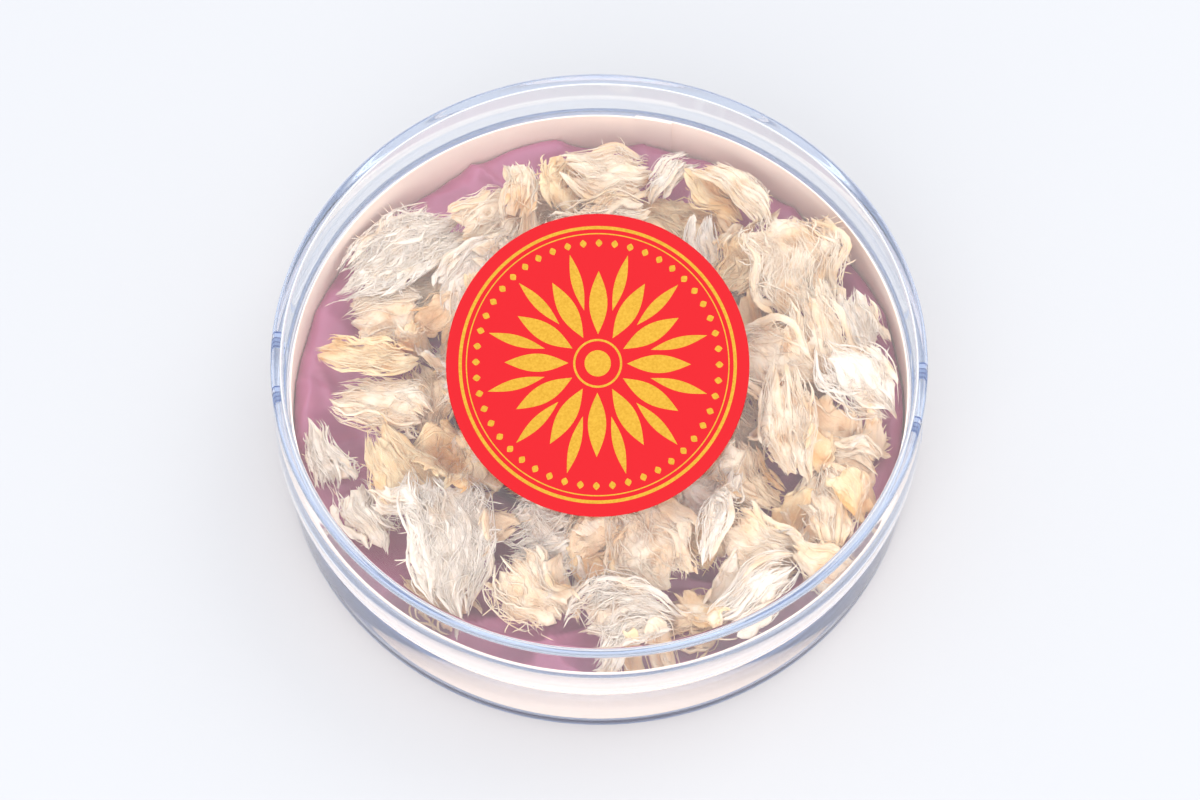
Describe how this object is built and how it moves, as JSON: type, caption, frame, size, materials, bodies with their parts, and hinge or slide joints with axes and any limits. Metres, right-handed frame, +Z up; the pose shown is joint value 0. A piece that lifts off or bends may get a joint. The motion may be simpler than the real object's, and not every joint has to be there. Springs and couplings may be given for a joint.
{
  "type": "boxed edible bird's nest",
  "caption": "Torn fibrous fragments of dried edible bird's nest, heaped on a satin bed in a round clear lidded box with a card liner and an oval label.",
  "frame": {"origin": "centre of the underside of the box", "axes": "+Z up through the lid, -Y towards the viewer of the picture, +X to that viewer's right"},
  "size_m": [0.18, 0.18, 0.0518],
  "materials": {
    "clear_polystyrene": "clear moulded, faint blue in its edges",
    "cream_card": "smooth uncoated card",
    "mauve_satin": "glossy satin weave",
    "nest_white": "dry matt strands, nearly white",
    "nest_ivory": "dry matt strands, ivory",
    "nest_honey": "dry strands, honey yellow, a little glassy",
    "nest_tan": "dry matt strands, tan",
    "label_paper": "red gloss paper with gold foil"
  },
  "bodies": {
    "root": {"base_tray": "clear_polystyrene", "card_liner": "cream_card", "satin_bed": "mauve_satin", "nest_lump_01": "nest_tan", "nest_lump_02": "nest_ivory", "nest_lump_03": "nest_tan", "nest_lump_04": "nest_honey", "nest_lump_05": "nest_ivory", "nest_lump_06": "nest_tan", "nest_lump_07": "nest_tan", "nest_lump_08": "nest_honey", "nest_sheet_09": "nest_tan", "nest_sheet_10": "nest_honey", "nest_sheet_11": "nest_tan", "nest_sheet_12": "nest_ivory", "nest_sheet_13": "nest_tan", "nest_sheet_14": "nest_tan", "nest_sheet_15": "nest_ivory", "nest_sheet_16": "nest_tan", "nest_sheet_17": "nest_ivory", "nest_lump_18": "nest_ivory", "nest_sheet_19": "nest_honey", "nest_fan_20": "nest_white", "nest_lump_21": "nest_white", "nest_fan_22": "nest_honey", "nest_sheet_23": "nest_white", "nest_lump_24": "nest_ivory", "nest_strand_25": "nest_ivory", "nest_sheet_26": "nest_honey", "nest_fan_27": "nest_white", "nest_sheet_28": "nest_ivory", "nest_strand_29": "nest_white", "nest_sheet_30": "nest_honey", "nest_strand_31": "nest_ivory", "nest_sheet_32": "nest_ivory", "nest_blade_33": "nest_white", "nest_sheet_34": "nest_honey", "nest_lump_35": "nest_ivory", "nest_lump_36": "nest_ivory", "nest_sheet_37": "nest_white", "nest_sheet_38": "nest_ivory", "nest_sheet_39": "nest_ivory", "nest_fan_40": "nest_white", "nest_sheet_41": "nest_ivory", "nest_fan_42": "nest_ivory", "nest_sheet_43": "nest_tan", "nest_blade_44": "nest_ivory", "nest_lump_45": "nest_ivory", "nest_lump_46": "nest_tan", "nest_sheet_47": "nest_white", "nest_sheet_48": "nest_tan", "nest_sheet_49": "nest_white", "nest_fan_50": "nest_white", "nest_lump_51": "nest_ivory", "nest_sheet_52": "nest_ivory", "nest_fan_53": "nest_white", "nest_blade_54": "nest_white", "nest_sheet_55": "nest_ivory", "lid": "clear_polystyrene", "label": "label_paper"}
  },
  "joints": []
}
